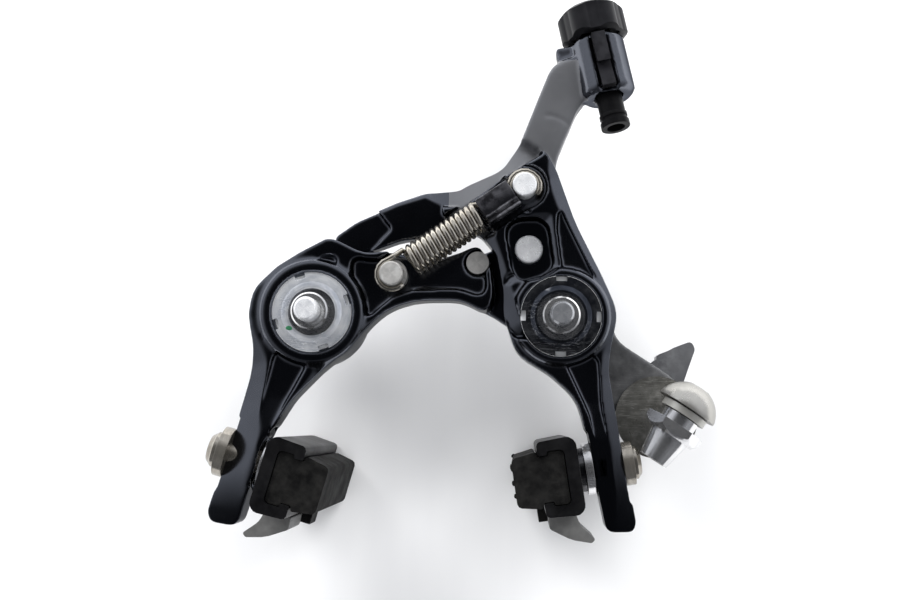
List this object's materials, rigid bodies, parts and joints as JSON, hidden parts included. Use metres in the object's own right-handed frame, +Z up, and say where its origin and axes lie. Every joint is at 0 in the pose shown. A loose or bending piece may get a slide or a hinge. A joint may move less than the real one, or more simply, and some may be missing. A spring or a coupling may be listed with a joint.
{
  "type": "rim brake caliper",
  "caption": "Direct-mount dual-pivot rim brake caliper with coupled arms, coil spring, barrel adjuster, quick release and toe-set shoes.",
  "frame": {"origin": "midway between the two mounting bolts, on the face that seats on the fork", "axes": "+X across the bicycle towards the adjuster arm, +Y away from the fork, +Z up"},
  "size_m": [0.1264, 0.052, 0.1372],
  "materials": {
    "black_anodised": "gloss",
    "polished_steel": "polished",
    "satin_nickel": "satin",
    "stainless": "satin",
    "black_plastic": "gloss",
    "dark_knob": "matte",
    "rubber": "matte",
    "grey_fin": "matte",
    "bronze_bush": "satin",
    "dark_lever": "satin"
  },
  "bodies": {
    "fork_mount": {"mounting_bolt_left": "polished_steel", "mounting_bolt_right": "polished_steel", "bolt_washer_left": "stainless", "bolt_washer_right": "stainless", "pivot_sleeve_left": "polished_steel", "pivot_sleeve_right": "polished_steel"},
    "left_arm": {"anchor_arm": "black_anodised", "pivot_bush_left": "bronze_bush", "lock_ring_left": "polished_steel", "spring_pin_left": "stainless", "stop_pin": "stainless"},
    "right_arm": {"adjuster_arm": "black_anodised", "pivot_bush_right": "bronze_bush", "lock_ring_right": "polished_steel", "spring_pin_upper": "stainless", "link_pin": "polished_steel", "link_clip": "stainless", "detent_strip": "black_plastic"},
    "link_wheel": {"link_roller": "stainless"},
    "spring_tail": {"return_spring": "stainless"},
    "spring_head": {"spring_sleeve": "black_plastic"},
    "knob": {"adjuster_knob": "dark_knob"},
    "barrel": {"adjuster_barrel": "black_plastic"},
    "release_cam": {"cam_shaft": "stainless", "release_lever": "dark_lever", "anchor_disc": "satin_nickel"},
    "cable_anchor": {"anchor_trunnion": "stainless", "anchor_bolt": "satin_nickel", "cable_plate": "satin_nickel", "anchor_nut": "polished_steel"},
    "left_shoe": {"shoe_bolt_left": "stainless", "outer_washer_left": "stainless", "seat_washer_left": "polished_steel", "spacer_left": "stainless", "shoe_holder_left": "black_plastic", "brake_rubber_left": "rubber", "pad_screw_left": "stainless", "guide_fin_left": "grey_fin"},
    "right_shoe": {"shoe_bolt_right": "stainless", "outer_washer_right": "stainless", "seat_washer_right": "polished_steel", "spacer_right": "stainless", "shoe_holder_right": "black_plastic", "brake_rubber_right": "rubber", "pad_screw_right": "stainless", "guide_fin_right": "grey_fin"}
  },
  "joints": [
    {"name": "left_pivot", "type": "hinge", "parent": "fork_mount", "child": "left_arm", "pos_m": [-0.031, 0.011, 0], "axis": [0, -1, 0], "range_deg": [0, 8]},
    {"name": "right_pivot", "type": "hinge", "parent": "fork_mount", "child": "right_arm", "pos_m": [0.031, 0.009, 0], "axis": [0, 1, 0], "range_deg": [0, 8]},
    {"name": "link_turn", "type": "hinge", "parent": "right_arm", "child": "link_wheel", "pos_m": [0.0228, 0.018, 0.0173], "axis": [0, 1, 0], "continuous": true},
    {"name": "spring_swing", "type": "hinge", "parent": "left_arm", "child": "spring_tail", "pos_m": [-0.0112, 0.0046, 0.0098], "axis": [0, 1, 0], "range_deg": [0, 14.8]},
    {"name": "spring_stretch", "type": "slide", "parent": "spring_tail", "child": "spring_head", "axis": [0.8215, 0, 0.5703], "range_m": [0, 0.0047], "deforming": ["return_spring"]},
    {"name": "knob_turn", "type": "hinge", "parent": "right_arm", "child": "knob", "pos_m": [0.0384, 0.01408, 0.07585], "axis": [-0.2081, 0.1736, 0.9626], "range_deg": [-360, 1080]},
    {"name": "barrel_travel", "type": "slide", "parent": "right_arm", "child": "barrel", "axis": [-0.2081, 0.1736, 0.9626], "range_m": [-0.001, 0.003]},
    {"name": "release_turn", "type": "hinge", "parent": "left_arm", "child": "release_cam", "pos_m": [0.0556, 0.02, -0.0242], "axis": [0, 1, 0], "range_deg": [-75, 0]},
    {"name": "anchor_swivel", "type": "hinge", "parent": "release_cam", "child": "cable_anchor", "pos_m": [0.05809, 0.0066, -0.02819], "axis": [0, 1, 0], "range_deg": [0, 75]},
    {"name": "left_shoe_height", "type": "slide", "parent": "left_arm", "child": "left_shoe", "axis": [0.2656, 0, 0.9641], "range_m": [-0.003, 0.003]},
    {"name": "right_shoe_height", "type": "slide", "parent": "right_arm", "child": "right_shoe", "axis": [-0.165, 0, 0.9863], "range_m": [-0.003, 0]}
  ],
  "couplings": [
    {"joint": "right_pivot", "follows": "left_pivot", "ratio": 1},
    {"joint": "spring_swing", "follows": "left_pivot", "ratio": 1.8},
    {"joint": "spring_stretch", "follows": "left_pivot", "m_per_rad": 0.0315},
    {"joint": "anchor_swivel", "follows": "release_turn", "ratio": -1},
    {"joint": "knob_turn", "follows": "barrel_travel", "rad_per_m": 6283.2}
  ]
}
